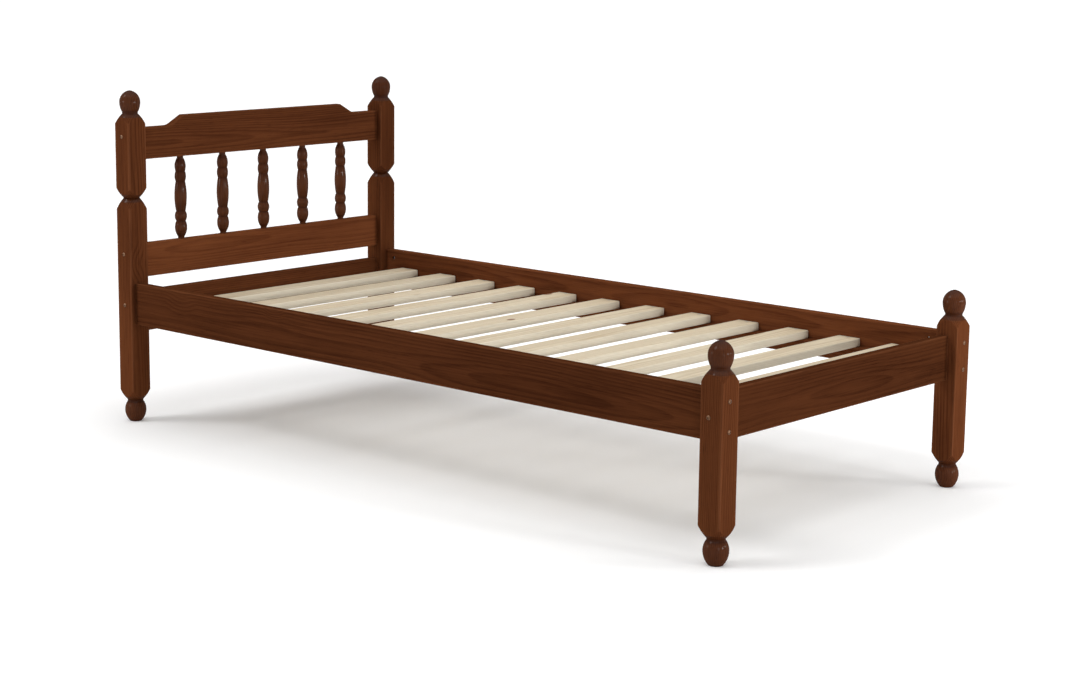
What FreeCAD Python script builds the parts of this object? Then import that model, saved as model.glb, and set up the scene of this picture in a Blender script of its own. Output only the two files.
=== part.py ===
# Single bed in stained pine: turned posts, a spindle headboard, and slats carried by the side rails.
# Millimetres. The origin lies on the floor under the middle of the bed. +X is to the right as seen
# from the foot, +Y runs towards the head and +Z is up.
import FreeCAD, Part
import os
import re
import Sketcher

SLAT_COUNT = 12
SPINDLE_COUNT = 5
LEDGER_SCREW_COUNT = SLAT_COUNT // 2
# Where a bulb of a spindle is widest, as a share of its height from the thin end
BULB_WIDEST_SHARE = 0.6

SIZES = {
    # Spacing of the post axes, and the square post stock
    "post_spacing_across": 910,
    "post_spacing_along": 1930,
    "post_side": 57,
    "post_edge_radius": 2.5,
    # How far the posts stand above the rails that they carry
    "head_post_rise": 98,
    "foot_post_rise": 101,
    # Turned ball at the top of each post, measured down from its tip
    "finial_radius": 27.2,
    "finial_widest_drop": 30.5,
    "finial_neck_drop": 60.5,
    "finial_shoulder_drop": 91,
    # Turned foot of each post, measured up from the floor
    "foot_radius": 28,
    "foot_flat_radius": 15.5,
    "foot_widest_height": 31,
    "foot_neck_height": 58,
    "foot_shoulder_height": 89,
    # Necks, rounded shoulders and the notch in the head posts
    "neck_radius": 20.4,
    "neck_band": 4,
    "shoulder_bulge": 2,
    "notch_offset": 12,
    "notch_reach_up": 30,
    "notch_reach_down": 34,
    # Side rails
    "side_rail_bottom": 264,
    "side_rail_height": 110,
    "side_rail_outset": 4,
    "rail_thickness": 22,
    "rail_edge_radius": 2.5,
    # End rails, set lower than the side rails
    "end_rail_height": 108,
    "foot_rail_drop": 4,
    "foot_rail_inset": 6,
    "head_rail_drop": 26,
    # Headboard
    "headboard_gap": 10.5,
    "lower_rail_height": 89.5,
    "spindle_length": 222,
    "top_rail_end_height": 84,
    "crest_rise": 26,
    "crest_half_length": 284,
    "crest_foot_half_length": 331,
    "crest_cove_radius": 40,
    # Turned spindles: beads near each end and a long swell between them
    "spindle_pitch": 146,
    "spindle_neck_radius": 8.5,
    "spindle_neck_height": 5,
    "spindle_groove_radius": 12.6,
    "lower_bulb_radius": 16.3,
    "lower_bulb_height": 42.5,
    "lower_ring_radius": 16.2,
    "lower_ring_height": 26,
    "upper_bulb_radius": 14.9,
    "upper_bulb_height": 36,
    "upper_ring_radius": 15.2,
    "upper_ring_height": 27,
    "spindle_swell_radius": 16.5,
    "tenon_diameter": 12,
    "tenon_length": 15,
    # Slats and the ledger strips under their ends
    "ledger_rise": 20.5,
    "ledger_height": 22,
    "ledger_depth": 22,
    "ledger_end_gap": 45,
    "slat_width": 63,
    "slat_thickness": 20,
    "slat_edge_radius": 2.5,
    "slat_end_gap": 3,
    "slat_edge_inset": 25.5,
    # Connector bolts, seated on the outer faces of the posts, and their barrel nuts
    "bolt_diameter": 6,
    "bolt_clearance": 0.6,
    "bolt_head_diameter": 10,
    "bolt_head_height": 3.2,
    "bolt_head_edge": 1,
    "bolt_tail": 8,
    "bolt_tip": 0.8,
    "socket_flats": 4,
    "socket_depth": 1.8,
    "side_bolt_spread": 64,
    "head_bolt_rise": 20,
    "nut_diameter": 10,
    "nut_length": 14,
    "nut_setback": 32,
    "nut_slot_width": 1.2,
    "nut_slot_depth": 1.4,
    # Dowels beside the single bolts
    "dowel_diameter": 10,
    "dowel_length": 48,
    "dowel_chamfer": 1,
    "foot_dowel_spread": 64,
    "hole_end_gap": 1,
    # Countersunk wood screws
    "screw_diameter": 4,
    "screw_head_diameter": 8,
    "screw_tip": 3,
    "slat_screw_length": 35,
    "ledger_screw_length": 35,
    "fit_clearance": 0.2,
}

doc = FreeCAD.newDocument("single_bed")
sheet = doc.addObject("Spreadsheet::Sheet", "Sizes")
for row, (alias, number) in enumerate(SIZES.items(), 1):
    sheet.set(f"A{row}", alias)
    sheet.set(f"B{row}", str(number))
    sheet.setAlias(f"B{row}", alias)
doc.recompute()

# Places worked out from the sizes
post_x = "(post_spacing_across / 2)"
post_y = "(post_spacing_along / 2)"
half_post = "(post_side / 2)"
half_rail = "(rail_thickness / 2)"
across_length = "(post_spacing_across - post_side)"
along_length = "(post_spacing_along - post_side)"
side_rail_x = f"({post_x} + side_rail_outset)"
side_rail_top = "(side_rail_bottom + side_rail_height)"
foot_rail_y = f"(foot_rail_inset - {post_y})"
foot_rail_bottom = f"({side_rail_top} - foot_rail_drop - end_rail_height)"
head_rail_bottom = f"({side_rail_top} - head_rail_drop - end_rail_height)"
lower_rail_bottom = f"({side_rail_top} + headboard_gap)"
lower_rail_top = f"({lower_rail_bottom} + lower_rail_height)"
top_rail_bottom = f"({lower_rail_top} + spindle_length)"
head_post_height = f"({top_rail_bottom} + top_rail_end_height + head_post_rise)"
foot_post_height = f"({side_rail_top} + foot_post_rise)"
notch_height = f"({lower_rail_top} + spindle_length / 2 + notch_offset)"
# A turning cut starts just outside the corners of the square stock and overruns its ends
turning_radius = "(post_side * 0.72)"
turning_overrun = "post_side / 5"
ledger_x = f"({side_rail_x} - {half_rail} - ledger_depth / 2)"
ledger_bottom = "(side_rail_bottom + ledger_rise)"
ledger_top = f"({ledger_bottom} + ledger_height)"
ledger_length = f"({along_length} - 2 * ledger_end_gap)"
slat_top = f"({ledger_top} + slat_thickness)"
slat_length = f"(2 * ({side_rail_x} - {half_rail} - slat_end_gap))"
slat_pitch = f"(({ledger_length} - 2 * slat_edge_inset - slat_width) / {SLAT_COUNT - 1})"
first_slat_y = f"(-{slat_pitch} * {(SLAT_COUNT - 1) / 2})"
first_ledger_screw_y = f"({first_slat_y} + {slat_pitch} / 2)"
bolt_length = "(post_side + nut_setback + bolt_tail)"
bolt_bore = "(bolt_diameter + bolt_clearance)"

# Heights of the bolts and dowels, measured from the bottom edge of their rail
side_bolts = [f"(side_rail_height / 2 + {sign} * side_bolt_spread / 2)" for sign in (-1, 1)]
foot_bolts = ["(end_rail_height / 2)"]
foot_dowels = [f"(end_rail_height / 2 + {sign} * foot_dowel_spread / 2)" for sign in (-1, 1)]
head_bolts = ["(end_rail_height / 2 + head_bolt_rise)"]
head_dowels = ["(end_rail_height / 2 - head_bolt_rise)"]
lower_bolts = ["(lower_rail_height / 2 + head_bolt_rise)"]
lower_dowels = ["(lower_rail_height / 2 - head_bolt_rise)"]
top_bolts = ["(top_rail_end_height / 2 + head_bolt_rise)"]
top_dowels = ["(top_rail_end_height / 2 - head_bolt_rise)"]

# Rails that run across the bed: bottom edge, place along the bed, bolts and dowels
FOOT_RAILS = [(foot_rail_bottom, foot_rail_y, foot_bolts, foot_dowels)]
HEAD_RAILS = [(head_rail_bottom, post_y, head_bolts, head_dowels)]
HEADBOARD_RAILS = [
    (lower_rail_bottom, post_y, lower_bolts, lower_dowels),
    (top_rail_bottom, post_y, top_bolts, top_dowels),
]

nodes = []


def cells(text):
    """Return an expression in which each named size reads its cell."""
    return re.sub(r"[a-z_]+", lambda word: "Sizes." * (word.group() in SIZES) + word.group(), text)


def value(text):
    """Return the number that an expression of named sizes gives."""
    return float(sheet.evalExpression(text))


def point(across, up):
    """Return a point of a sketch plane."""
    return FreeCAD.Vector(value(across), value(up), 0)


def new_body(label, place=("0", "0", "0")):
    """Start a sub-part at a place that is tied to the sizes."""
    body = doc.addObject("PartDesign::Body", label)
    body.Label = label
    for axis, text in zip("xyz", place):
        body.setExpression(f"Placement.Base.{axis}", cells(text))
    nodes.append(body)
    return body


def origin_feature(body, role):
    """Return a plane or axis of a body's origin."""
    return next(item for item in body.Origin.OriginFeatures if item.Role == role)


def sketch_on(body, role, offset=("0", "0", "0")):
    """Make a sketch on an origin plane, moved by an offset in the plane's own axes."""
    sketch = body.newObject("Sketcher::SketchObject", "Sketch")
    sketch.AttachmentSupport = (origin_feature(body, role), [""])
    sketch.MapMode = "FlatFace"
    for axis, text in zip("xyz", offset):
        sketch.setExpression(f"AttachmentOffset.Base.{axis}", cells(text))
    return sketch


def pin(sketch, geometry, position, across, up):
    """Tie a sketch point to two distances from the sketch origin."""
    for kind, text in (("DistanceX", across), ("DistanceY", up)):
        limit = Sketcher.Constraint(kind, -1, 1, geometry, position, value(text))
        index = sketch.addConstraint(limit)
        sketch.setExpression(f"Constraints[{index}]", cells(text))


def draw(sketch, steps):
    """Draw a closed outline. A step of two points is an arc through the first of them."""
    edges = []
    corner = steps[-1][-1]
    for step in steps:
        start = point(*corner)
        finish = point(*step[-1])
        if len(step) == 2:
            middle = point(*step[0])
            edge = sketch.addGeometry(Part.Arc(start, middle, finish))
            mark = sketch.addGeometry(Part.Point(middle), True)
            pin(sketch, mark, 1, *step[0])
            sketch.addConstraint(Sketcher.Constraint("PointOnObject", mark, 1, edge))
        else:
            edge = sketch.addGeometry(Part.LineSegment(start, finish))
        forward = sketch.getPoint(edge, 1).distanceToPoint(start) < 1e-6
        edges.append((edge, (1, 2) if forward else (2, 1)))
        corner = step[-1]
    for index, (edge, ends) in enumerate(edges):
        following, following_ends = edges[(index + 1) % len(edges)]
        sketch.addConstraint(Sketcher.Constraint("Coincident", edge, ends[1], following, following_ends[0]))
        pin(sketch, edge, ends[1], *steps[index][-1])


def draw_polygon(sketch, corners):
    """Draw a closed outline of straight lines."""
    draw(sketch, [[corner] for corner in corners])


def draw_box(sketch, left, right, bottom, top):
    """Draw a rectangle."""
    draw_polygon(sketch, [(left, bottom), (right, bottom), (right, top), (left, top)])


def draw_circle(sketch, across, up, diameter):
    """Draw a circle, tied to its centre and its diameter."""
    circle = sketch.addGeometry(Part.Circle(point(across, up), FreeCAD.Vector(0, 0, 1), value(diameter) / 2))
    pin(sketch, circle, 3, across, up)
    index = sketch.addConstraint(Sketcher.Constraint("Diameter", circle, value(diameter)))
    sketch.setExpression(f"Constraints[{index}]", cells(diameter))


def pad(body, sketch, length, both_ways=True):
    """Push a sketch out to a length, to both sides of its plane or along its normal."""
    feature = body.newObject("PartDesign::Pad", "Pad")
    feature.Profile = sketch
    feature.SideType = "Symmetric" if both_ways else "One side"
    feature.setExpression("Length", cells(length))
    doc.recompute()


def runs_along(edge, axis):
    """Tell whether an edge is straight and parallel to the axis numbered 0, 1 or 2."""
    step = edge.Vertexes[-1].Point - edge.Vertexes[0].Point
    return step.Length > 0 and abs(abs(step[axis]) - step.Length) < 1e-6


def round_edges(body, radius, wanted):
    """Fillet the edges that a test picks out."""
    base = body.Tip
    names = [f"Edge{index}" for index, edge in enumerate(base.Shape.Edges, 1) if wanted(edge)]
    feature = body.newObject("PartDesign::Fillet", "Fillet")
    feature.Base = (base, names)
    feature.setExpression("Radius", cells(radius))
    doc.recompute()


def cut(body, sketch, axis, depth=None, towards=1):
    """Cut a sketch away, right through or to a depth towards the plus or minus end of an axis."""
    before = body.Shape.Volume
    feature = body.newObject("PartDesign::Pocket", "Pocket")
    feature.Profile = sketch
    if depth is None:
        feature.Type = "ThroughAll"
        feature.SideType = "Symmetric"
    else:
        feature.Type = "Length"
        feature.Reversed = (towards > 0) != (axis == "Y")
        feature.setExpression("Length", cells(depth))
    doc.recompute()
    if body.Shape.Volume >= before:
        raise RuntimeError(f"{body.Label}: a cut along {axis} removes nothing")
    return feature


def cross_plane(body, axis, lift="0"):
    """Make a sketch on the plane square to an axis, lifted along that axis."""
    role = {"X": "YZ_Plane", "Y": "XZ_Plane", "Z": "XY_Plane"}[axis]
    return sketch_on(body, role, ("0", "0", f"-({lift})" if axis == "Y" else lift))


def bore(body, axis, centres, diameter, depth=None, lift="0", towards=1):
    """Drill round holes along an axis."""
    sketch = cross_plane(body, axis, lift)
    for across, up in centres:
        draw_circle(sketch, across, up, diameter)
    return cut(body, sketch, axis, depth, towards)


def turn(body, axis, steps, place=("0", "0", "0"), kind="Revolution"):
    """Turn an outline of (along, radius) points about the line through a place, parallel to an axis."""
    before = body.Shape.Volume if kind == "Groove" else 0
    x, y, z = place
    if axis == "Z":
        sketch = sketch_on(body, "XZ_Plane", (x, z, f"-({y})"))
    else:
        sketch = sketch_on(body, "XY_Plane", place)
    if axis == "X":
        draw(sketch, steps)
    else:
        draw(sketch, [[(radius, along) for along, radius in step] for step in steps])
    feature = body.newObject("PartDesign::" + kind, kind)
    feature.Profile = sketch
    feature.ReferenceAxis = (sketch, ["H_Axis" if axis == "X" else "V_Axis"])
    feature.Angle = 360
    doc.recompute()
    if kind == "Groove" and body.Shape.Volume >= before:
        raise RuntimeError(f"{body.Label}: a groove about {axis} removes nothing")
    return feature


def mirror(body, role):
    """Repeat everything in a body on the other side of an origin plane."""
    feature = body.newObject("PartDesign::Mirrored", "Mirrored")
    feature.TransformMode = "Whole shape"
    feature.MirrorPlane = (origin_feature(body, role), [""])
    body.Tip = feature
    doc.recompute()


def repeat_along(body, spacing, count, originals=()):
    """Repeat features, or the whole body, at a spacing along Y."""
    feature = body.newObject("PartDesign::LinearPattern", "LinearPattern")
    if originals:
        feature.TransformMode = "Features"
        feature.Originals = list(originals)
    else:
        feature.TransformMode = "Whole shape"
    feature.Direction = (origin_feature(body, "Y_Axis"), [""])
    feature.Mode = "Spacing"
    feature.setExpression("Offset", cells(spacing))
    feature.Occurrences = count
    body.Tip = feature
    doc.recompute()


def belly(widest, end):
    """Return an arc from or to the widest point of a swelling, where it runs parallel to the axis."""
    along = f"({end[0]} - {widest[0]})"
    fall = f"({widest[1]} - {end[1]})"
    curve = f"(({along}^2 + {fall}^2) / (2 * {fall}))"
    return f"(({widest[0]} + {end[0]}) / 2)", f"({widest[1]} - {curve} + sqrt({curve}^2 - {along}^2 / 4))"


def shoulder(inner, outer):
    """Return the middle of the rounded shoulder between a neck and the square of a post."""
    return f"(({inner[0]} + {outer[0]}) / 2)", f"(({inner[1]} + {outer[1]}) / 2 + shoulder_bulge)"


def turn_finial(body, height):
    """Turn the ball, neck and shoulder at the top of a post."""
    tip = (height, "0")
    widest = (f"({height} - finial_widest_drop)", "finial_radius")
    neck_top = (f"({height} - finial_neck_drop + neck_band)", "neck_radius")
    neck = (f"({height} - finial_neck_drop)", "neck_radius")
    square = (f"({height} - finial_shoulder_drop)", turning_radius)
    above = f"({height} + {turning_overrun})"
    turn(body, "Z", [
        [belly(widest, tip), widest],
        [belly(widest, neck_top), neck_top],
        [neck],
        [shoulder(neck, square), square],
        [(above, turning_radius)],
        [(above, "0")],
        [tip],
    ], kind="Groove")


def turn_foot(body):
    """Turn the shoulder, neck and ball at the foot of a post."""
    flat = ("0", "foot_flat_radius")
    widest = ("foot_widest_height", "foot_radius")
    neck_bottom = ("(foot_neck_height - neck_band)", "neck_radius")
    neck = ("foot_neck_height", "neck_radius")
    square = ("foot_shoulder_height", turning_radius)
    below = f"(-{turning_overrun})"
    turn(body, "Z", [
        [belly(widest, flat), widest],
        [belly(widest, neck_bottom), neck_bottom],
        [neck],
        [shoulder(neck, square), square],
        [(below, turning_radius)],
        [(below, "foot_flat_radius")],
        [flat],
    ], kind="Groove")


def turn_notch(body):
    """Turn the notch half way up the headboard part of a head post."""
    neck = (notch_height, "neck_radius")
    upper = (f"({notch_height} + notch_reach_up)", turning_radius)
    lower = (f"({notch_height} - notch_reach_down)", turning_radius)
    turn(body, "Z", [
        [shoulder(neck, upper), upper],
        [lower],
        [shoulder(neck, lower), neck],
    ], kind="Groove")


def make_post(label, side, end, height, cross_rails):
    """Make a post. Side is -1 on the left and 1 on the right, end is -1 at the foot and 1 at the head."""
    body = new_body(label, (f"{side} * {post_x}", f"{end} * {post_y}", "0"))
    section = sketch_on(body, "XY_Plane")
    draw_box(section, f"-{half_post}", half_post, f"-{half_post}", half_post)
    pad(body, section, height, both_ways=False)
    round_edges(body, "post_edge_radius", lambda edge: runs_along(edge, 2))
    turn_finial(body, height)
    turn_foot(body)
    if end > 0:
        turn_notch(body)
    offset = f"({side} * side_rail_outset)"
    bore(body, "Y", [(offset, f"(side_rail_bottom + {rise})") for rise in side_bolts], bolt_bore)
    for bottom, rail_y, bolts, dowels in cross_rails:
        across = f"({rail_y} - {end} * {post_y})"
        bore(body, "X", [(across, f"({bottom} + {rise})") for rise in bolts], bolt_bore)
        bore(body, "X", [(across, f"({bottom} + {rise})") for rise in dowels],
             "(dowel_diameter + fit_clearance)", "(dowel_length / 2 + hole_end_gap)",
             f"({-side} * {half_post})", side)


def bore_cross_rail(body, bolts, dowels):
    """Drill both ends of a rail that runs across the bed for its bolts, barrel nuts and dowels."""
    for side in (-1, 1):
        end_face = f"({side} * {across_length} / 2)"
        nut_x = f"({side} * ({across_length} / 2 - nut_setback))"
        bore(body, "X", [("0", rise) for rise in bolts], bolt_bore,
             "(nut_setback + bolt_tail + hole_end_gap)", end_face, -side)
        bore(body, "X", [("0", rise) for rise in dowels], "(dowel_diameter + fit_clearance)",
             "(dowel_length / 2 + hole_end_gap)", end_face, -side)
        bore(body, "Y", [(nut_x, rise) for rise in bolts], "(nut_diameter + fit_clearance)",
             f"({half_rail} + nut_length / 2 + fit_clearance)", half_rail, -1)


def make_cross_rail(label, bottom, rail_y, bolts, dowels, height):
    """Make a plain rail that runs across the bed between two posts."""
    body = new_body(label, ("0", rail_y, bottom))
    section = sketch_on(body, "YZ_Plane")
    draw_box(section, f"-{half_rail}", half_rail, "0", height)
    pad(body, section, across_length)
    round_edges(body, "rail_edge_radius", lambda edge: runs_along(edge, 0))
    bore_cross_rail(body, bolts, dowels)
    return body


def make_top_rail(bottom, rail_y, bolts, dowels):
    """Make the top rail of the headboard, which rises to a raised middle."""
    body = new_body("headboard_top_rail", ("0", rail_y, bottom))
    outline = sketch_on(body, "XZ_Plane")
    half_length = f"({across_length} / 2)"
    right = [
        (half_length, "0"),
        (half_length, "top_rail_end_height"),
        ("crest_foot_half_length", "top_rail_end_height"),
        ("crest_half_length", "(top_rail_end_height + crest_rise)"),
    ]
    left = [(f"-{across}", up) for across, up in reversed(right)]
    draw_polygon(outline, right + left)
    pad(body, outline, "rail_thickness")
    round_edges(body, "crest_cove_radius", lambda edge: runs_along(edge, 1) and abs(
        abs(edge.Vertexes[0].X) - value("crest_foot_half_length")) < 1e-6)
    round_edges(body, "rail_edge_radius", lambda edge: not runs_along(edge, 1) and not runs_along(edge, 2))
    bore_cross_rail(body, bolts, dowels)
    return body


def spindle_places():
    """Return the places of the spindles across the bed."""
    middle = (SPINDLE_COUNT - 1) / 2
    return [f"({index - middle} * spindle_pitch)" for index in range(SPINDLE_COUNT)]


def bore_mortises(body, lift, towards):
    """Drill the blind holes that take the spindle tenons."""
    bore(body, "Z", [(place, "0") for place in spindle_places()], "(tenon_diameter + fit_clearance)",
         "(tenon_length + hole_end_gap)", lift, towards)


def make_spindle(label, place):
    """Turn a spindle with a tenon, a neck, a bulb and a ring at each end of its long swell."""
    body = new_body(label, (place, post_y, lower_rail_top))
    tenon = "(tenon_diameter / 2)"
    lower_groove = "(spindle_neck_height + lower_bulb_height)"
    swell_start = f"({lower_groove} + lower_ring_height)"
    upper_groove = "(spindle_length - spindle_neck_height - upper_bulb_height)"
    swell_end = f"({upper_groove} - upper_ring_height)"
    turn(body, "Z", [
        [("-tenon_length", tenon)],
        [("0", tenon)],
        [("0", "spindle_neck_radius")],
        [("spindle_neck_height", "spindle_neck_radius")],
        [(f"(spindle_neck_height + lower_bulb_height * {BULB_WIDEST_SHARE})", "lower_bulb_radius"),
         (lower_groove, "spindle_groove_radius")],
        [(f"({lower_groove} + lower_ring_height / 2)", "lower_ring_radius"),
         (swell_start, "spindle_groove_radius")],
        [(f"(({swell_start} + {swell_end}) / 2)", "spindle_swell_radius"),
         (swell_end, "spindle_groove_radius")],
        [(f"({upper_groove} - upper_ring_height / 2)", "upper_ring_radius"),
         (upper_groove, "spindle_groove_radius")],
        [(f"({upper_groove} + upper_bulb_height * (1 - {BULB_WIDEST_SHARE}))", "upper_bulb_radius"),
         ("(spindle_length - spindle_neck_height)", "spindle_neck_radius")],
        [("spindle_length", "spindle_neck_radius")],
        [("spindle_length", tenon)],
        [("(spindle_length + tenon_length)", tenon)],
        [("(spindle_length + tenon_length)", "0")],
        [("-tenon_length", "0")],
    ])


def screw_steps(length, way, spare="0"):
    """Outline a countersunk screw, or with some spare the hole for one, from its head inwards."""
    head = f"(screw_head_diameter / 2 + {spare})"
    shank = f"(screw_diameter / 2 + {spare})"
    return [
        [("0", head)],
        [(f"({way} * (screw_head_diameter - screw_diameter) / 2)", shank)],
        [(f"({way} * ({length} - screw_tip))", shank)],
        [(f"({way} * {length})", "0")],
        [("0", "0")],
    ]


def make_side_rail(label, side):
    """Make a side rail, bored for bolts, barrel nuts and ledger screws."""
    body = new_body(label, (f"({side} * {side_rail_x})", "0", "side_rail_bottom"))
    section = sketch_on(body, "XZ_Plane")
    draw_box(section, f"-{half_rail}", half_rail, "0", "side_rail_height")
    pad(body, section, along_length)
    round_edges(body, "rail_edge_radius", lambda edge: runs_along(edge, 1))
    inner_face = f"({-side} * {half_rail})"
    for end in (-1, 1):
        nut_y = f"({end} * ({along_length} / 2 - nut_setback))"
        bore(body, "Y", [("0", rise) for rise in side_bolts], bolt_bore,
             "(nut_setback + bolt_tail + hole_end_gap)", f"({end} * {along_length} / 2)", -end)
        bore(body, "X", [(nut_y, rise) for rise in side_bolts], "(nut_diameter + fit_clearance)",
             f"({half_rail} + nut_length / 2 + fit_clearance)", inner_face, side)
    pilot = bore(body, "X", [(first_ledger_screw_y, "(ledger_rise + ledger_height / 2)")],
                 "(screw_diameter + fit_clearance)",
                 "(ledger_screw_length - ledger_depth + hole_end_gap)", inner_face, side)
    repeat_along(body, f"(2 * {slat_pitch})", LEDGER_SCREW_COUNT, [pilot])


def make_ledger(label, side):
    """Make the strip under the slat ends, drilled for its own screws and for the slat screws."""
    body = new_body(label, (f"({side} * {ledger_x})", "0", ledger_bottom))
    section = sketch_on(body, "XZ_Plane")
    draw_box(section, "(-ledger_depth / 2)", "(ledger_depth / 2)", "0", "ledger_height")
    pad(body, section, ledger_length)
    inner_face = (f"({-side} * ledger_depth / 2)", first_ledger_screw_y, "(ledger_height / 2)")
    through = turn(body, "X", screw_steps("ledger_screw_length", side, "fit_clearance"), inner_face, "Groove")
    repeat_along(body, f"(2 * {slat_pitch})", LEDGER_SCREW_COUNT, [through])
    pilot = bore(body, "Z", [("0", first_slat_y)], "(screw_diameter + fit_clearance)",
                 "(slat_screw_length - slat_thickness + hole_end_gap)", "ledger_height", -1)
    repeat_along(body, slat_pitch, SLAT_COUNT, [pilot])


def make_slat(number):
    """Make one slat with eased edges and a countersunk hole over each ledger."""
    slat_y = f"({first_slat_y} + {number - 1} * {slat_pitch})"
    body = new_body(f"slat_{number:02d}", ("0", slat_y, ledger_top))
    section = sketch_on(body, "YZ_Plane")
    draw_box(section, "(-slat_width / 2)", "(slat_width / 2)", "0", "slat_thickness")
    pad(body, section, slat_length)
    round_edges(body, "slat_edge_radius", lambda edge: runs_along(edge, 0))
    for side in (-1, 1):
        turn(body, "Z", screw_steps("slat_screw_length", -1, "fit_clearance"),
             (f"({side} * {ledger_x})", "0", "slat_thickness"), "Groove")


def add_bolt(body, axis, place):
    """Add a connector bolt that points along +X or +Y, with its head seated at a place."""
    head = "(bolt_head_diameter / 2)"
    shank = "(bolt_diameter / 2)"
    dome = "(bolt_head_height - bolt_head_edge)"
    curve = f"(({head}^2 + {dome}^2) / (2 * {dome}))"
    turn(body, axis, [
        [(f"({curve} - bolt_head_height - sqrt({curve}^2 - {head}^2 / 4))", f"({head} / 2)"),
         ("-bolt_head_edge", head)],
        [("0", head)],
        [("0", shank)],
        [(f"({bolt_length} - bolt_tip)", shank)],
        [(bolt_length, f"({shank} - bolt_tip)")],
        [(bolt_length, "0")],
        [("-bolt_head_height", "0")],
    ], place)
    x, y, z = place
    across, seat = (y, x) if axis == "X" else (x, y)
    sketch = cross_plane(body, axis, f"({seat} - bolt_head_height)")
    corner = "(socket_flats / sqrt(3))"
    draw_polygon(sketch, [
        (f"({across} + {shift} * {corner})", f"({z} + {rise} * socket_flats)")
        for shift, rise in ((1, 0), (0.5, 0.5), (-0.5, 0.5), (-1, 0), (-0.5, -0.5), (0.5, -0.5))
    ])
    cut(body, sketch, axis, "socket_depth", 1)


def add_nut(body, axis, place, slot_side):
    """Add a barrel nut that lies along an axis, bored across for its bolt and slotted at one end."""
    half_length = "(nut_length / 2)"
    turn(body, axis, [
        [(f"-{half_length}", "(nut_diameter / 2)")],
        [(half_length, "(nut_diameter / 2)")],
        [(half_length, "0")],
        [(f"-{half_length}", "0")],
    ], place)
    x, y, z = place
    if axis == "X":
        bolt_axis, bolt_place, slot_y = "Y", x, y
    else:
        bolt_axis, bolt_place, slot_y = "X", y, x
    bore(body, bolt_axis, [(bolt_place, z)], "(bolt_diameter + fit_clearance)", "(2 * nut_diameter)",
         f"({slot_y} - nut_diameter)", 1)
    sketch = cross_plane(body, axis, f"({bolt_place} + {slot_side} * {half_length})")
    draw_box(sketch, f"({slot_y} - nut_diameter)", f"({slot_y} + nut_diameter)",
             f"({z} - nut_slot_width / 2)", f"({z} + nut_slot_width / 2)")
    cut(body, sketch, axis, "nut_slot_depth", -slot_side)


def make_side_rail_fasteners():
    """Make the bolts and barrel nuts of all four side rail ends."""
    bolts = new_body("side_rail_bolts")
    nuts = new_body("side_rail_barrel_nuts")
    for rise in side_bolts:
        level = f"(side_rail_bottom + {rise})"
        add_bolt(bolts, "Y", (f"-{side_rail_x}", f"-({post_y} + {half_post})", level))
        add_nut(nuts, "X", (f"-{side_rail_x}", f"(nut_setback - {along_length} / 2)", level), 1)
    for body in (bolts, nuts):
        mirror(body, "XZ_Plane")
        mirror(body, "YZ_Plane")


def make_cross_rail_fasteners(prefix, rails):
    """Make the bolts, barrel nuts and dowels at both ends of some rails that run across the bed."""
    bolt_group = new_body(f"{prefix}_bolts")
    nut_group = new_body(f"{prefix}_barrel_nuts")
    dowel_group = new_body(f"{prefix}_dowels")
    half_dowel = "(dowel_length / 2)"
    for bottom, rail_y, bolts, dowels in rails:
        for rise in bolts:
            level = f"({bottom} + {rise})"
            add_bolt(bolt_group, "X", (f"-({post_x} + {half_post})", rail_y, level))
            add_nut(nut_group, "Y", (f"(nut_setback - {across_length} / 2)", rail_y, level), 1)
        for rise in dowels:
            turn(dowel_group, "X", [
                [(f"-{half_dowel}", "(dowel_diameter / 2 - dowel_chamfer)")],
                [(f"(dowel_chamfer - {half_dowel})", "(dowel_diameter / 2)")],
                [(f"({half_dowel} - dowel_chamfer)", "(dowel_diameter / 2)")],
                [(half_dowel, "(dowel_diameter / 2 - dowel_chamfer)")],
                [(half_dowel, "0")],
                [(f"-{half_dowel}", "0")],
            ], (f"(-{across_length} / 2)", rail_y, f"({bottom} + {rise})"))
    for body in (bolt_group, nut_group, dowel_group):
        mirror(body, "YZ_Plane")


def make_screws():
    """Make the screws of both ledgers and of all the slats."""
    ledger_screws = new_body("ledger_screws")
    turn(ledger_screws, "X", screw_steps("ledger_screw_length", -1),
         (f"(ledger_depth / 2 - {ledger_x})", first_ledger_screw_y, f"({ledger_bottom} + ledger_height / 2)"))
    repeat_along(ledger_screws, f"(2 * {slat_pitch})", LEDGER_SCREW_COUNT)
    slat_screws = new_body("slat_screws")
    turn(slat_screws, "Z", screw_steps("slat_screw_length", -1), (f"-{ledger_x}", first_slat_y, slat_top))
    repeat_along(slat_screws, slat_pitch, SLAT_COUNT)
    for body in (ledger_screws, slat_screws):
        mirror(body, "YZ_Plane")


def write_parts():
    """Check every object, then write each sub-part to its own file."""
    doc.recompute()
    faulty = [item.Name for item in doc.Objects if {"Invalid", "Error"} & set(item.State)]
    faulty += [body.Label for body in nodes if body.Shape.isNull() or not body.Shape.isValid()]
    if faulty:
        raise RuntimeError("faulty objects: " + ", ".join(faulty))
    os.makedirs("parts", exist_ok=True)
    for body in nodes:
        body.Shape.exportStep(f"parts/{body.Label}.step")
        print(body.Label, len(body.Shape.Solids), round(body.Shape.Volume))


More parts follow.
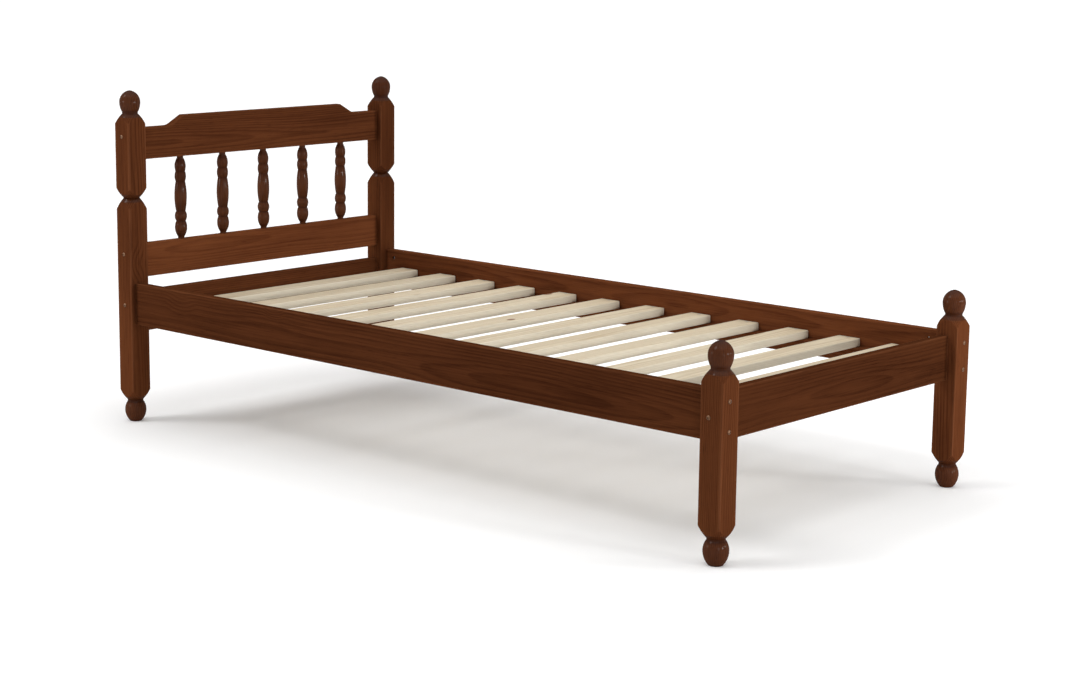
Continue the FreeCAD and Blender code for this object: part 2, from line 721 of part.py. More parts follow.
for side, side_name in ((-1, "left"), (1, "right")):
    make_post(f"foot_post_{side_name}", side, -1, foot_post_height, FOOT_RAILS)
    make_post(f"head_post_{side_name}", side, 1, head_post_height, HEAD_RAILS + HEADBOARD_RAILS)
    make_side_rail(f"side_rail_{side_name}", side)
    make_ledger(f"slat_ledger_{side_name}", side)
make_cross_rail("foot_end_rail", *FOOT_RAILS[0], "end_rail_height")
make_cross_rail("head_end_rail", *HEAD_RAILS[0], "end_rail_height")
bore_mortises(make_cross_rail("headboard_lower_rail", *HEADBOARD_RAILS[0], "lower_rail_height"),
              "lower_rail_height", -1)
bore_mortises(make_top_rail(*HEADBOARD_RAILS[1]), "0", 1)
for number, place in enumerate(spindle_places(), 1):
    make_spindle(f"spindle_{number}", place)
for number in range(1, SLAT_COUNT + 1):
    make_slat(number)
make_side_rail_fasteners()
make_cross_rail_fasteners("end_rail", FOOT_RAILS + HEAD_RAILS)
make_cross_rail_fasteners("headboard", HEADBOARD_RAILS)
make_screws()
write_parts()
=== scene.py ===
"""Single bed in dark stained pine, with turned posts, a spindle headboard and a bare slat deck.

Metres. The origin lies on the floor under the middle of the bed, +X is to the right as seen from the
foot, +Y runs towards the head and +Z is up.
"""

import logging
import math
from abc import ABC, abstractmethod
from dataclasses import dataclass
from enum import Enum

import bpy
from mathutils import Euler, Matrix, Vector


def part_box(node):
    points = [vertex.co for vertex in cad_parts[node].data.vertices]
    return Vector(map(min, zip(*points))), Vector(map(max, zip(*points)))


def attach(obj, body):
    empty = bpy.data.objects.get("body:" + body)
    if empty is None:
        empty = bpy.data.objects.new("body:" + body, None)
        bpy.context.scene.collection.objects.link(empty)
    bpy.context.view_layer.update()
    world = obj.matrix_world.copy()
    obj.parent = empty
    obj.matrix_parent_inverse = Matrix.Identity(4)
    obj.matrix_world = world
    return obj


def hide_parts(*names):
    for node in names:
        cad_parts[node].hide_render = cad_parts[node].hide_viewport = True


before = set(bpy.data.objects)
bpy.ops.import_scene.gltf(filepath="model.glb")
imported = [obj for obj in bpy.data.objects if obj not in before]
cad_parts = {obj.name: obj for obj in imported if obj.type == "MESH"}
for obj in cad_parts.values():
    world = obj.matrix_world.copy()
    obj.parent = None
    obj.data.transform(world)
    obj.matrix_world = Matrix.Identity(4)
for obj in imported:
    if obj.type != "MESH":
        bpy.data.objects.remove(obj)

log = logging.getLogger("single_bed")

Span = tuple[float, float]
Place = tuple[float, float, float]
Colour = tuple[float, float, float]
Socket = bpy.types.NodeSocket
Value = Socket | float

WHITE = (1.0, 1.0, 1.0, 1.0)

# Directions on a piece that lies with its grain along the first axis
WITH_GRAIN = (1.0, 0.0, 0.0)
SIDEWAYS = (0.0, 1.0, 0.0)
ACROSS_GRAIN = (0.0, 1.0, 1.0)

# Mean value of a noise texture
NOISE_MIDDLE = 0.5


class Run(Enum):
    """The way the grain of a piece runs, as the turn that lays the piece along its log."""

    ACROSS = (0.0, 0.0, 0.0)
    ALONG = (0.0, 0.0, -math.pi / 2)
    UP = (0.0, math.pi / 2, 0.0)


class Form(Enum):
    """How a piece was worked, which says where it is worn, where it is darker and where light and shade are
    painted on it.
    """

    BOARD = "sawn and planed"
    TURNED = "turned on a lathe"


class Side(Enum):
    """A side of the bed as seen from the foot, with its sign along X."""

    LEFT = -1
    RIGHT = 1

    @property
    def word(self) -> str:
        """The side's word in the names of pieces."""
        return self.name.lower()


class Graph:
    """Adds shader nodes to one material and wires them together."""

    def __init__(self, name: str) -> None:
        """Start an empty material.

        Args:
            name: Name of the material.
        """
        self.material = bpy.data.materials.new(name)
        self.material.use_nodes = True
        self.tree = self.material.node_tree
        self.tree.nodes.clear()

    def add(self, kind: str, inputs: dict[str | int, object], **settings: object) -> bpy.types.Node:
        """Add a node and feed its inputs.

        Args:
            kind: The node's type, without the prefix that all shader nodes share.
            inputs: A socket to link or a value to set, for each input by name or number.
            **settings: The node's own settings.

        Returns:
            The new node.
        """
        node = self.tree.nodes.new("ShaderNode" + kind)
        for setting, value in settings.items():
            setattr(node, setting, value)
        for name, value in inputs.items():
            if isinstance(value, Socket):
                self.tree.links.new(value, node.inputs[name])
            else:
                node.inputs[name].default_value = value
        return node

    def math(self, operation: str, *values: Value) -> Socket:
        """Return the result of a sum on numbers."""
        return self.add("Math", dict(enumerate(values)), operation=operation).outputs[0]

    def vector(self, operation: str, *values: Socket | Place) -> bpy.types.Node:
        """Return a node that does a sum on vectors."""
        return self.add("VectorMath", dict(enumerate(values)), operation=operation)

    def stretch(self, place: Socket, scale: Place) -> Socket:
        """Return a place scaled differently along each axis."""
        return self.vector("MULTIPLY", place, scale).outputs[0]

    def split(self, place: Socket) -> tuple[Socket, Socket, Socket]:
        """Return the three parts of a vector."""
        return tuple(self.add("SeparateXYZ", {0: place}).outputs)

    def length(self, place: Socket, keep: Place) -> Socket:
        """Return how long a vector is in the directions that are kept."""
        return self.vector("LENGTH", self.stretch(place, keep)).outputs["Value"]

    def rise(self, value: Value, low: float, high: float) -> Socket:
        """Return 0 at a value's low end, 1 at its high end, and a smooth rise between them."""
        inputs = {"Value": value, "From Min": low, "From Max": high}
        return self.add("MapRange", inputs, interpolation_type="SMOOTHSTEP").outputs[0]

    def noise(self, place: Socket, scale: Place, detail: float = 2.0) -> bpy.types.Node:
        """Return a noise texture whose spots have a size of their own along each axis."""
        inputs = {"Vector": self.stretch(place, scale), "Scale": 1.0, "Detail": detail}
        return self.add("TexNoise", inputs)

    def swing(self, value: Socket, middle: float, amount: float) -> Socket:
        """Return how far a value lies from its middle, times an amount."""
        return self.math("MULTIPLY", self.math("SUBTRACT", value, middle), amount)

    def mix(self, factor: Value, first: Socket | Colour, second: Socket | Colour) -> Socket:
        """Return a colour between two others."""
        ends = [end if isinstance(end, Socket) else (*end, 1.0) for end in (first, second)]
        # A Mix node has sockets of one name for several types, so those for colours go by number.
        return self.add("Mix", {0: factor, 6: ends[0], 7: ends[1]}, data_type="RGBA").outputs[2]

    def close(self, shader: bpy.types.Node) -> bpy.types.Material:
        """Link the shader to the material's output and return the material."""
        self.add("OutputMaterial", {0: shader.outputs[0]})
        return self.material


@dataclass(frozen=True)
class Board:
    """How one piece was cut from its log and worked.

    Attributes:
        node: Name of the piece.
        run: The way its grain runs.
        pith: Where its middle lies from the pith of the log, in the two directions across the grain.
        shift: Where its middle lies along the log.
        form: How it was worked.
        shade: How light the piece is coloured, with 1 for the usual shade; partly its own tone and partly
            painted light and shade.
        facing: How squarely a surface faces a way where that begins to count, and where it counts in full.
    """

    node: str
    run: Run
    pith: Span
    shift: float
    form: Form = Form.BOARD
    shade: float = 1.0
    facing: Span = (0.45, 0.95)

    def turn(self) -> Matrix:
        """Return the turn that lays the piece along its log."""
        return Euler(self.run.value).to_matrix()

    def half_size(self) -> Vector:
        """Return half the length of the piece and half its two sizes across the grain."""
        low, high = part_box(self.node)
        return Vector([abs(part) for part in self.turn() @ ((high - low) / 2)])

    def faces(self, graph: Graph, way: Place) -> Socket:
        """Return how squarely the surface faces one way of the piece, from 0 to 1.

        Args:
            graph: The material that is being made.
            way: The way, with the grain along the first axis.

        Returns:
            1 where the surface lies square to that way.
        """
        way_on_bed = self.turn().transposed() @ Vector(way)
        normal = graph.add("TexCoord", {}).outputs["Normal"]
        square = graph.vector("DOT_PRODUCT", normal, way_on_bed).outputs["Value"]
        return graph.rise(graph.math("ABSOLUTE", square), *self.facing)

    def own_place(self, graph: Graph) -> Socket:
        """Measure places from the middle of the piece, with the grain along the first axis.

        Args:
            graph: The material that is being made.

        Returns:
            The place on the piece.
        """
        low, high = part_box(self.node)
        inputs = {
            "Vector": graph.add("TexCoord", {}).outputs["Object"],
            "Location": self.turn() @ ((low + high) / -2),
            "Rotation": self.run.value,
        }
        return graph.add("Mapping", inputs).outputs[0]


@dataclass(frozen=True)
class Rub:
    """Where a piece is lighter from wear and painted light, and where it is darker at its joints and
    grooves and under painted shade.

    Attributes:
        edge: How far the lighter strip of wear and painted highlight reaches from the edges of a board.
        joint: How far the settled strip reaches from the ends of a board.
        narrow: How far the narrow sides of a board are painted lighter, a painted light in place of the
            light they miss.
        corner: Distances from the axis of a turned piece between which the lighter wear and painted
            highlight set in.
        groove: Distances from the axis of a turned piece between which the darkening of the grooves fades
            out.
        tip: Distances from the ends of a turned piece between which the darkening of the grooves sets in.
        turned: Distances from the axis of a turned piece between which the varnish gloss and the painted
            shade of the round parts fade out.
        crest: Half lengths of a raised top edge at its top and at its foot, and how far it is raised.
    """

    edge: float = 0.005
    joint: float = 0.012
    narrow: float = 0.0
    corner: Span = (0.0355, 0.0390)
    groove: Span = (0.0212, 0.0245)
    tip: Span = (0.018, 0.024)
    turned: Span = (0.0281, 0.0284)
    crest: Place = (0.0, 1.0, 0.0)

    def gloss_and_painted_shade(self, graph: Graph, own: Socket) -> Socket:
        """Return 1 where a turned piece is round and 0 where it was left square."""
        return graph.rise(graph.length(own, ACROSS_GRAIN), *reversed(self.turned))

    def edge_distance(self, graph: Graph, half: Vector, own: Socket, end: Socket) -> Socket:
        """Measure how far each place on a board lies from the nearest edge.

        Args:
            graph: The material that is being made.
            half: Half the length of the board and half its two sizes across the grain.
            own: The place on the board.
            end: How far that place lies from the nearer end.

        Returns:
            The distance.
        """
        along, across, up = graph.split(own)
        crest_top, crest_foot, crest_rise = self.crest
        side = graph.math("SUBTRACT", half.y, graph.math("ABSOLUTE", across))
        beside_crest = graph.rise(graph.math("ABSOLUTE", along), crest_top, crest_foot)
        lowered = graph.math("MULTIPLY", beside_crest, crest_rise)
        top = graph.math("SUBTRACT", graph.math("SUBTRACT", half.z, up), lowered)
        level = graph.math("MINIMUM", top, graph.math("ADD", half.z, up))
        # Two faces meet at an edge, so the middle one of the three distances is the distance to an edge.
        least = graph.math("MINIMUM", end, side)
        most = graph.math("MAXIMUM", end, side)
        return graph.math("MAXIMUM", least, graph.math("MINIMUM", most, level))

    def masks(self, graph: Graph, board: Board, own: Socket) -> tuple[Socket, Socket]:
        """Work out the lighter places and the darker places.

        Args:
            graph: The material that is being made.
            board: The piece.
            own: The place on the piece.

        Returns:
            How much each place is lightened by wear and painted highlight, and how much it is darkened.
        """
        half = board.half_size()
        end = graph.math("SUBTRACT", half.x, graph.math("ABSOLUTE", graph.split(own)[0]))
        if board.form is Form.TURNED:
            radius = graph.length(own, ACROSS_GRAIN)
            grooves = graph.rise(radius, *reversed(self.groove))
            darkened = graph.math("MULTIPLY", grooves, graph.rise(end, *self.tip))
            # The corners of a turned piece get the lighter wear and painted highlight, and its grooves get
            # darker.
            return graph.rise(radius, *self.corner), darkened
        edge = self.edge_distance(graph, half, own, end)
        # The edges of a board get the lighter wear and painted highlight, and its ends get darker.
        return graph.rise(edge, self.edge, 0.0), graph.rise(end, self.joint, 0.0)


@dataclass(frozen=True)
class Figure:
    """The figure that the grain draws on one piece.

    Attributes:
        place: The place in the log.
        heart: How much of a knot's heart shows.
        late: 0 in the soft part of each growth ring and 1 in its hard part.
        fibre: How far the fibres stand out.
        pore: 1 in a pore.
    """

    place: Socket
    heart: Socket
    late: Socket
    fibre: Socket
    pore: Socket


@dataclass(frozen=True)
class Grain:
    """How pine grows. Its features are counted per metre, along the log and in two directions across it.

    Attributes:
        knots: Count of the spaces that hold one knot each.
        knot_size: Least size of a knot and how much larger the largest is, in such spaces.
        knot_reach: Distances from a knot, in its own sizes, where the rings begin to bend and bend most.
        knot_heart: Distances from a knot, in its own sizes, where its heart begins and is full.
        knot_bend: How far the rings bend round a knot, in rings.
        bends: Count of the bends of the pith.
        bend_size: Size of those bends.
        ring_changes: Count of the changes in the width of the rings.
        ring_hardens: Shares of a ring where its hard part begins and is full.
        ring_ends: Shares of a ring where its hard part ends and is still full.
        fibres: Count of the fibres.
        fibre_detail: Detail of the fibres.
        pores: Count of the pores.
        pore_detail: Detail of the pores.
        pore_edge: Values of the noise at the edge of a pore and inside it.
    """

    knots: Place = (3.4, 6.0, 6.0)
    knot_size: Span = (0.02, 0.07)
    knot_reach: Span = (3.4, 0.5)
    knot_heart: Span = (1.0, 0.7)
    knot_bend: float = 1.8
    bends: Place = (0.9, 2.6, 2.6)
    bend_size: float = 0.05
    ring_changes: Place = (1.4, 16.0, 16.0)
    ring_hardens: Span = (0.3, 0.88)
    ring_ends: Span = (1.0, 0.92)
    fibres: Place = (5.0, 380.0, 380.0)
    fibre_detail: float = 3.0
    pores: Place = (24.0, 900.0, 900.0)
    pore_detail: float = 1.0
    pore_edge: Span = (0.60, 0.72)

    def find_knots(self, graph: Graph, place: Socket) -> tuple[Socket, Socket]:
        """Scatter knots through the log.

        Args:
            graph: The material that is being made.
            place: The place in the log.

        Returns:
            How far the rings bend round a knot, and how much of a knot's heart shows.
        """
        cells = graph.add("TexVoronoi", {"Vector": graph.stretch(place, self.knots), "Scale": 1.0})
        chance = graph.add("SeparateColor", {0: cells.outputs["Color"]}).outputs[0]
        least, more = self.knot_size
        # Squared, so that most knots are small
        size = graph.math("MULTIPLY_ADD", graph.math("POWER", chance, 2.0), more, least)
        reach = graph.math("DIVIDE", cells.outputs["Distance"], size)
        return graph.rise(reach, *self.knot_reach), graph.rise(reach, *self.knot_heart)

    def grow_rings(self, graph: Graph, place: Socket, bend: Socket, ring: float) -> Socket:
        """Grow the rings of the log.

        Args:
            graph: The material that is being made.
            place: The place in the log.
            bend: How far the rings bend round a knot.
            ring: Width of a ring.

        Returns:
            0 in the soft part of each ring and 1 in its hard part.
        """
        wander = graph.noise(place, self.bends).outputs["Color"]
        wander = graph.vector("SUBTRACT", wander, (NOISE_MIDDLE,) * 3).outputs[0]
        wander = graph.stretch(wander, (0.0, self.bend_size, self.bend_size))
        radius = graph.length(graph.vector("ADD", place, wander).outputs[0], ACROSS_GRAIN)
        radius = graph.math("MULTIPLY_ADD", bend, self.knot_bend * ring, radius)
        change = graph.noise(place, self.ring_changes).outputs[0]
        count = graph.math("ADD", graph.math("DIVIDE", radius, ring), change)
        share = graph.math("FRACT", count)
        hard = graph.rise(share, *self.ring_hardens)
        return graph.math("MULTIPLY", hard, graph.rise(share, *self.ring_ends))

    def figure(self, graph: Graph, place: Socket, ring: float) -> Figure:
        """Draw the figure of the wood.

        Args:
            graph: The material that is being made.
            place: The place in the log.
            ring: Width of a growth ring.

        Returns:
            The figure.
        """
        bend, heart = self.find_knots(graph, place)
        late = self.grow_rings(graph, place, bend, ring)
        fibre = graph.noise(place, self.fibres, self.fibre_detail).outputs[0]
        pore = graph.noise(place, self.pores, self.pore_detail).outputs[0]
        return Figure(place, heart, late, fibre, graph.rise(pore, *self.pore_edge))


@dataclass(frozen=True)
class WoodFinish:
    """Pine and its finish.

    Attributes:
        name: Name of the finish.
        early: Colour of the wide soft part of each growth ring.
        late: Colour of the narrow hard part of each growth ring.
        knot: Colour of the knots.
        wear_and_painted_light: Colour of the worn edges and their painted highlight, also painted on narrow
            sides as painted light.
        darkened: Colour of the grooves, joints and end grain, and of the painted shade on the round turned
            parts.
        rub: How strongly the wear and painted highlight on the edges show.
        ring: Width of a growth ring.
        ring_share: How strongly the growth rings show.
        fibre_share: How strongly the fibres show.
        blotch_share: How unevenly the wood took its colour.
        roughness: Roughness of the surface.
        specular: Strength of the reflection.
        coat: Weight of the varnish film on what was polished on the lathe.
        relief: Height of the grain.
        grain: How the wood grew.
        tone: Usual tone, from 0 for the soft part of a ring to 1 for its hard part.
        ring_middle: How hard a ring is where it leaves the usual tone.
        pore_share: How strongly the pores show.
        blotches: Count of the blotches per metre, along the grain and across it.
        patches: Count of the patches of wear and painted highlight per metre, along the grain and across
            it.
        patch_edge: Values of the noise at the edge of a patch and inside it.
        patch_share: How much of the wear and painted highlight lies in patches.
        mottle_detail: Detail of the blotches and patches.
        darken: How strongly the darkening of the grooves, joints and end grain shows.
        round_painted_shade: How far a painted shade takes the round turned parts towards the colour of the
            grooves.
        coat_roughness: Roughness of the varnish film.
        bump: Strength of the relief.
        bump_shares: How much the fibres and the rings add to the relief.
        fibre_roughness: How much the fibres change the roughness.
        rub_roughness: How much rougher the places of wear and painted highlight are.
    """

    name: str
    early: Colour
    late: Colour
    knot: Colour
    wear_and_painted_light: Colour
    darkened: Colour
    rub: float
    ring: float
    ring_share: float
    fibre_share: float
    blotch_share: float
    roughness: float
    specular: float
    coat: float
    relief: float
    grain: Grain = Grain()
    tone: float = 0.4
    ring_middle: float = 0.35
    pore_share: float = 0.25
    blotches: Place = (1.6, 9.0, 9.0)
    patches: Place = (8.0, 60.0, 60.0)
    patch_edge: Span = (0.36, 0.62)
    patch_share: float = 0.6
    mottle_detail: float = 3.0
    darken: float = 0.6
    round_painted_shade: float = 0.42
    coat_roughness: float = 0.1
    bump: float = 0.5
    bump_shares: Span = (0.7, 0.5)
    fibre_roughness: float = 0.25
    rub_roughness: float = 0.10

    def stain(self, graph: Graph, board: Board, figure: Figure) -> Socket:
        """Colour the wood as it was before it was handled.

        Args:
            graph: The material that is being made.
            board: The piece.
            figure: The figure of its wood.

        Returns:
            The colour.
        """
        blotch = graph.noise(figure.place, self.blotches, self.mottle_detail).outputs[0]
        tone = graph.swing(figure.late, self.ring_middle, self.ring_share)
        tone = graph.math("ADD", tone, graph.swing(figure.fibre, NOISE_MIDDLE, self.fibre_share))
        tone = graph.math("ADD", tone, graph.swing(blotch, NOISE_MIDDLE, self.blotch_share))
        tone = graph.math("ADD", tone, graph.math("MULTIPLY", figure.pore, self.pore_share))
        tone = graph.math("ADD", tone, self.tone)
        # A piece's shade is partly its own tone and partly painted light and shade.
        early, late = (tuple(board.shade * part for part in colour) for colour in (self.early, self.late))
        colour = graph.mix(graph.rise(tone, 0.0, 1.0), early, late)
        return graph.mix(figure.heart, colour, self.knot)

    def patch_wear_and_painted_highlight(self, graph: Graph, wear_and_painted_light: Socket, place: Socket) -> Socket:
        """Break up the wear and painted highlight into patches.

        Args:
            graph: The material that is being made.
            wear_and_painted_light: How much each place shows wear and painted highlight.
            place: The place in the log.

        Returns:
            How much the wear and painted highlight show.
        """
        patch = graph.noise(place, self.patches, self.mottle_detail).outputs[0]
        patch = graph.rise(patch, *self.patch_edge)
        everywhere = 1.0 - self.patch_share
        share = graph.math("MULTIPLY_ADD", patch, self.patch_share * self.rub, everywhere * self.rub)
        return graph.math("MULTIPLY", wear_and_painted_light, share)

    def raise_grain(self, graph: Graph, figure: Figure) -> Socket:
        """Raise the grain.

        Args:
            graph: The material that is being made.
            figure: The figure of the wood.

        Returns:
            The normal of the raised surface.
        """
        fibre_share, ring_share = self.bump_shares
        rings = graph.math("MULTIPLY", figure.late, ring_share)
        height = graph.math("MULTIPLY_ADD", figure.fibre, fibre_share, rings)
        height = graph.math("SUBTRACT", height, figure.pore)
        inputs = {"Strength": self.bump, "Distance": self.relief, "Height": height}
        return graph.add("Bump", inputs).outputs[0]

    def material(self, board: Board, rub: Rub) -> bpy.types.Material:
        """Make the finish for one piece.

        Args:
            board: How the piece was cut and worked.
            rub: Where it shows wear and painted light and shade, and where it is darker.

        Returns:
            The material.
        """
        graph = Graph(f"{self.name}_{board.node}")
        own = board.own_place(graph)
        place = graph.vector("ADD", own, (board.shift, *board.pith)).outputs[0]
        figure = self.grain.figure(graph, place, self.ring)
        colour = self.stain(graph, board, figure)
        wear_and_painted_light, darkened = rub.masks(graph, board, own)
        darkened = graph.math("MAXIMUM", darkened, board.faces(graph, WITH_GRAIN))
        colour = graph.mix(graph.math("MULTIPLY", darkened, self.darken), colour, self.darkened)
        # The edges are lightened by wear and a painted highlight, in patches.
        wear_and_painted_light = self.patch_wear_and_painted_highlight(graph, wear_and_painted_light, place)
        colour = graph.mix(wear_and_painted_light, colour, self.wear_and_painted_light)
        if rub.narrow:
            # Painted light: the narrow sides are painted lighter, in place of the light they miss.
            planed = graph.math("MULTIPLY", board.faces(graph, SIDEWAYS), rub.narrow)
            colour = graph.mix(planed, colour, self.wear_and_painted_light)
        coat = 0.0
        if board.form is Form.TURNED:
            gloss_and_painted_shade = rub.gloss_and_painted_shade(graph, own)
            # Painted shade: the round turned parts are darkened towards the colour of the grooves.
            colour = graph.mix(graph.math("MULTIPLY", gloss_and_painted_shade, self.round_painted_shade), colour, self.darkened)
            coat = graph.math("MULTIPLY", gloss_and_painted_shade, self.coat)
        roughness = graph.swing(figure.fibre, NOISE_MIDDLE, self.fibre_roughness)
        roughness = graph.math("ADD", roughness, self.roughness)
        roughness = graph.math("MULTIPLY_ADD", wear_and_painted_light, self.rub_roughness, roughness)
        return graph.close(graph.add("BsdfPrincipled", {
            "Base Color": colour,
            "Roughness": roughness,
            "Normal": self.raise_grain(graph, figure),
            "Specular IOR Level": self.specular,
            "Coat Weight": coat,
            "Coat Roughness": self.coat_roughness,
        }))


@dataclass(frozen=True)
class MetalFinish:
    """Plated steel.

    Attributes:
        name: Name of the finish.
        bright: Colour of the fresh plate.
        dull: Colour of the handled plate.
        roughness: Roughness of the plate.
        spots: Count of the dull spots per metre.
        spot_detail: Detail of the spots.
        spot_edge: Values of the noise at the edge of a spot and inside it.
        spot_roughness: How much the spots change the roughness.
        scratches: Count of the scratches per metre.
        scratch_depth: Depth of the scratches.
        scratch_share: How strongly the scratches show.
    """

    name: str
    bright: Colour
    dull: Colour
    roughness: float
    spots: Place = (240.0, 240.0, 240.0)
    spot_detail: float = 4.0
    spot_edge: Span = (0.35, 0.65)
    spot_roughness: float = 0.3
    scratches: Place = (900.0, 900.0, 2600.0)
    scratch_depth: float = 0.00008
    scratch_share: float = 0.3

    def material(self) -> bpy.types.Material:
        """Make the finish.

        Returns:
            The material.
        """
        graph = Graph(self.name)
        place = graph.add("TexCoord", {}).outputs["Object"]
        spot = graph.noise(place, self.spots, self.spot_detail).outputs[0]
        scratch = graph.noise(place, self.scratches).outputs[0]
        roughness = graph.swing(spot, NOISE_MIDDLE, self.spot_roughness)
        relief = {"Strength": self.scratch_share, "Distance": self.scratch_depth, "Height": scratch}
        return graph.close(graph.add("BsdfPrincipled", {
            "Base Color": graph.mix(graph.rise(spot, *self.spot_edge), self.bright, self.dull),
            "Metallic": 1.0,
            "Roughness": graph.math("ADD", roughness, self.roughness),
            "Normal": graph.add("Bump", relief).outputs[0],
        }))


STAINED_PINE = WoodFinish(
    name="stained_pine",
    early=(0.147, 0.0465, 0.0170),
    late=(0.057, 0.0163, 0.0064),
    knot=(0.018, 0.0055, 0.0028),
    wear_and_painted_light=(0.235, 0.085, 0.036),
    darkened=(0.036, 0.0085, 0.0024),
    rub=0.35,
    ring=0.0042,
    ring_share=0.22,
    fibre_share=0.7,
    blotch_share=0.9,
    roughness=0.25,
    specular=0.0,
    coat=0.13,
    relief=0.0003,
)
BARE_PINE = WoodFinish(
    name="bare_pine",
    early=(0.71, 0.615, 0.455),
    late=(0.50, 0.375, 0.225),
    knot=(0.21, 0.105, 0.050),
    # Lighter colour of the worn edges, also painted on the narrow sides of the slats as painted light.
    wear_and_painted_light=(0.84, 0.77, 0.63),
    darkened=(0.44, 0.33, 0.21),
    rub=0.5,
    ring=0.0040,
    ring_share=0.34,
    fibre_share=0.5,
    blotch_share=0.5,
    roughness=0.62,
    specular=0.3,
    coat=0.0,
    relief=0.0003,
)
DOWEL_WOOD = WoodFinish(
    name="dowel_wood",
    early=(0.62, 0.45, 0.28),
    late=(0.50, 0.34, 0.19),
    knot=(0.40, 0.26, 0.14),
    wear_and_painted_light=(0.66, 0.50, 0.33),
    darkened=(0.40, 0.28, 0.16),
    rub=0.5,
    ring=0.0030,
    ring_share=0.2,
    fibre_share=0.5,
    blotch_share=0.3,
    roughness=0.6,
    specular=0.3,
    coat=0.0,
    relief=0.0002,
)
BRONZED_PLATE = MetalFinish(
    name="bronzed_plate",
    bright=(0.20, 0.11, 0.065),
    dull=(0.13, 0.07, 0.04),
    roughness=0.5,
)
ZINC_PLATE = MetalFinish(
    name="zinc_plate",
    bright=(0.62, 0.63, 0.64),
    dull=(0.40, 0.41, 0.42),
    roughness=0.36,
)


class Assembly(ABC):
    """A group of pieces that are made together."""

    @abstractmethod
    def build(self) -> None:
        """Make and dress the pieces of the group."""

    @staticmethod
    def put_on(node: str, material: bpy.types.Material) -> None:
        """Give a piece its finish.

        Args:
            node: Name of the piece.
            material: The finish.
        """
        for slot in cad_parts[node].material_slots:
            slot.material = material
        log.info("%s wears %s", node, material.name)

    def dress(self, finish: WoodFinish, boards: list[Board], rub: Rub) -> None:
        """Give pieces of wood a finish, each with a grain of its own.

        Args:
            finish: The finish.
            boards: How the pieces were cut.
            rub: Where they show wear and painted light and shade, and where they are darker.
        """
        for board in boards:
            self.put_on(board.node, finish.material(board, rub))


@dataclass(frozen=True)
class Posts(Assembly):
    """The four turned posts, each cut beside the pith of its log.

    Attributes:
        pith: Where the middle of a foot post lies from the pith.
        nearer: How much nearer to the pith the head posts were cut, in the second direction.
        spacing: How far apart the posts lie along their log.
        shades: How light each post is coloured, partly its own tone and partly painted light and shade, the
            left before the right and the foot before the head.
    """

    pith: Span = (0.046, 0.052)
    nearer: float = 0.4
    spacing: float = 1.7
    shades: tuple[float, ...] = (0.92, 1.2, 1.08, 0.97)

    def build(self) -> None:
        """Dress the posts."""
        boards = []
        shades = iter(self.shades)
        for number, end in enumerate(("foot", "head")):
            for side in Side:
                node = f"{end}_post_{side.word}"
                pith = (side.value * self.pith[0], side.value * self.pith[1] * (1 - self.nearer * number))
                shift = self.spacing * (2 * number + side.value)
                boards.append(Board(node, Run.UP, pith, shift, Form.TURNED, next(shades)))
        self.dress(STAINED_PINE, boards, Rub())


@dataclass(frozen=True)
class Headboard(Assembly):
    """The two rails of the headboard and the spindles between them.

    Attributes:
        crest: Half lengths of the raised top edge at its top and at its foot, and how far it is raised.
        spindles: Number of spindles.
        spacing: How far apart the spindles lie along their log.
        pith: Where the middle of the spindles lies from the pith, without their steps.
        pith_step: How much further from the pith each next spindle lies.
        groove: Distances from the axis of a spindle between which the darkening of the grooves fades out.
        corner: Distances from the axis of a spindle between which the lighter wear and painted highlight
            set in.
    """

    crest: Place = (0.284, 0.331, 0.026)
    spindles: int = 5
    spacing: float = 0.9
    pith: Span = (0.03, 0.028)
    pith_step: float = 0.004
    groove: Span = (0.0124, 0.0146)
    corner: Span = (0.0150, 0.0168)

    def build(self) -> None:
        """Dress the rails and the spindles."""
        # Each board's shade is partly its own tone and partly painted light and shade.
        top = Board("headboard_top_rail", Run.ACROSS, pith=(0.060, 0.012), shift=11.3, shade=1.05)
        lower = Board("headboard_lower_rail", Run.ACROSS, pith=(0.072, -0.016), shift=14.1, shade=1.5)
        self.dress(STAINED_PINE, [top], Rub(crest=self.crest))
        self.dress(STAINED_PINE, [lower], Rub())
        spindles = []
        for number in range(1, self.spindles + 1):
            pith = (self.pith[0] + self.pith_step * number, self.pith[1])
            spindles.append(Board(f"spindle_{number}", Run.UP, pith, self.spacing * number, Form.TURNED))
        self.dress(STAINED_PINE, spindles, Rub(groove=self.groove, corner=self.corner))


@dataclass(frozen=True)
class Rails(Assembly):
    """The side rails, the end rails and the ledgers under the slats.

    Attributes:
        pith: How far the middle of a rail lies from the pith, through its thickness.
        ledger_pith: Where the middle of a ledger lies from the pith.
    """

    pith: float = 0.066
    ledger_pith: Span = (0.05, 0.03)

    def build(self) -> None:
        """Dress the rails and the ledgers."""
        boards = [
            # Each rail's shade is partly its own tone and partly painted light and shade.
            Board("side_rail_left", Run.ALONG, pith=(self.pith, 0.014), shift=20.4, shade=0.72),
            Board("side_rail_right", Run.ALONG, pith=(self.pith, -0.020), shift=24.9, shade=1.35),
            Board("foot_end_rail", Run.ACROSS, pith=(-self.pith, 0.010), shift=28.2, shade=0.58),
            Board("head_end_rail", Run.ACROSS, pith=(self.pith, 0.022), shift=31.7),
            Board("slat_ledger_left", Run.ALONG, pith=self.ledger_pith, shift=35.3),
            Board("slat_ledger_right", Run.ALONG, pith=self.ledger_pith, shift=39.8),
        ]
        self.dress(STAINED_PINE, boards, Rub())


